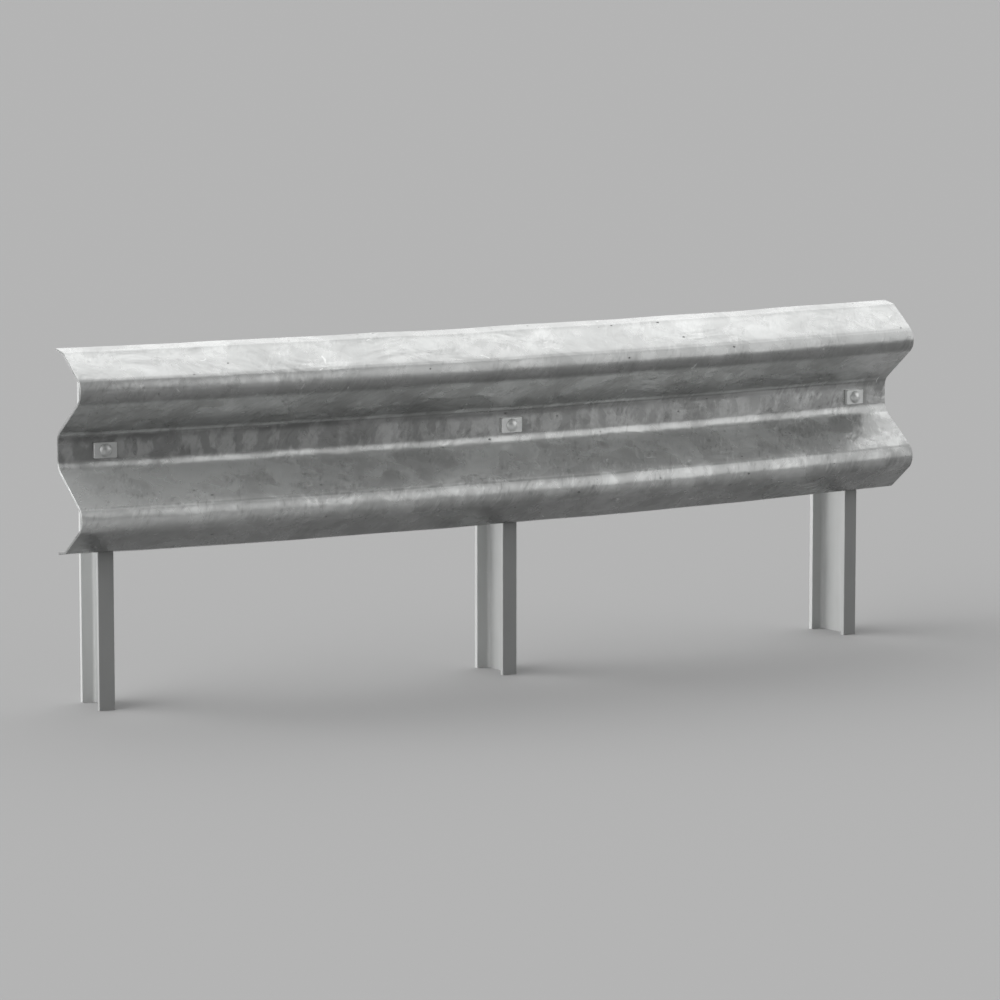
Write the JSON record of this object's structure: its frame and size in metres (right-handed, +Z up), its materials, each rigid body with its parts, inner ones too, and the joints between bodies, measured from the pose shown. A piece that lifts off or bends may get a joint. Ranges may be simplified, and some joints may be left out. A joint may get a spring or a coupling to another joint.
{
  "type": "highway guardrail section",
  "caption": "W-beam guardrail section: one corrugated steel rail, gently bowed in plan, bolted through plate washers to short channel posts.",
  "frame": {"origin": "on the foot of the middle post, under its bolt, at the middle of its front flange's thickness", "axes": "+X along the rail to the right seen from the road, -Y towards the road, +Z up"},
  "size_m": [1.5, 0.2112, 0.548],
  "materials": {
    "rail_galvanised": "mottled hot-dip galvanised steel, half gloss",
    "post_galvanised": "smooth light grey galvanised steel, satin",
    "fastening_zinc": "zinc-plated steel, glossy"
  },
  "bodies": {
    "root": {"rail": "rail_galvanised", "left_post": "post_galvanised", "left_plate_washer": "fastening_zinc", "left_bolt": "fastening_zinc", "left_nut": "fastening_zinc", "middle_post": "post_galvanised", "middle_plate_washer": "fastening_zinc", "middle_bolt": "fastening_zinc", "middle_nut": "fastening_zinc", "right_post": "post_galvanised", "right_plate_washer": "fastening_zinc", "right_bolt": "fastening_zinc", "right_nut": "fastening_zinc"}
  },
  "joints": []
}
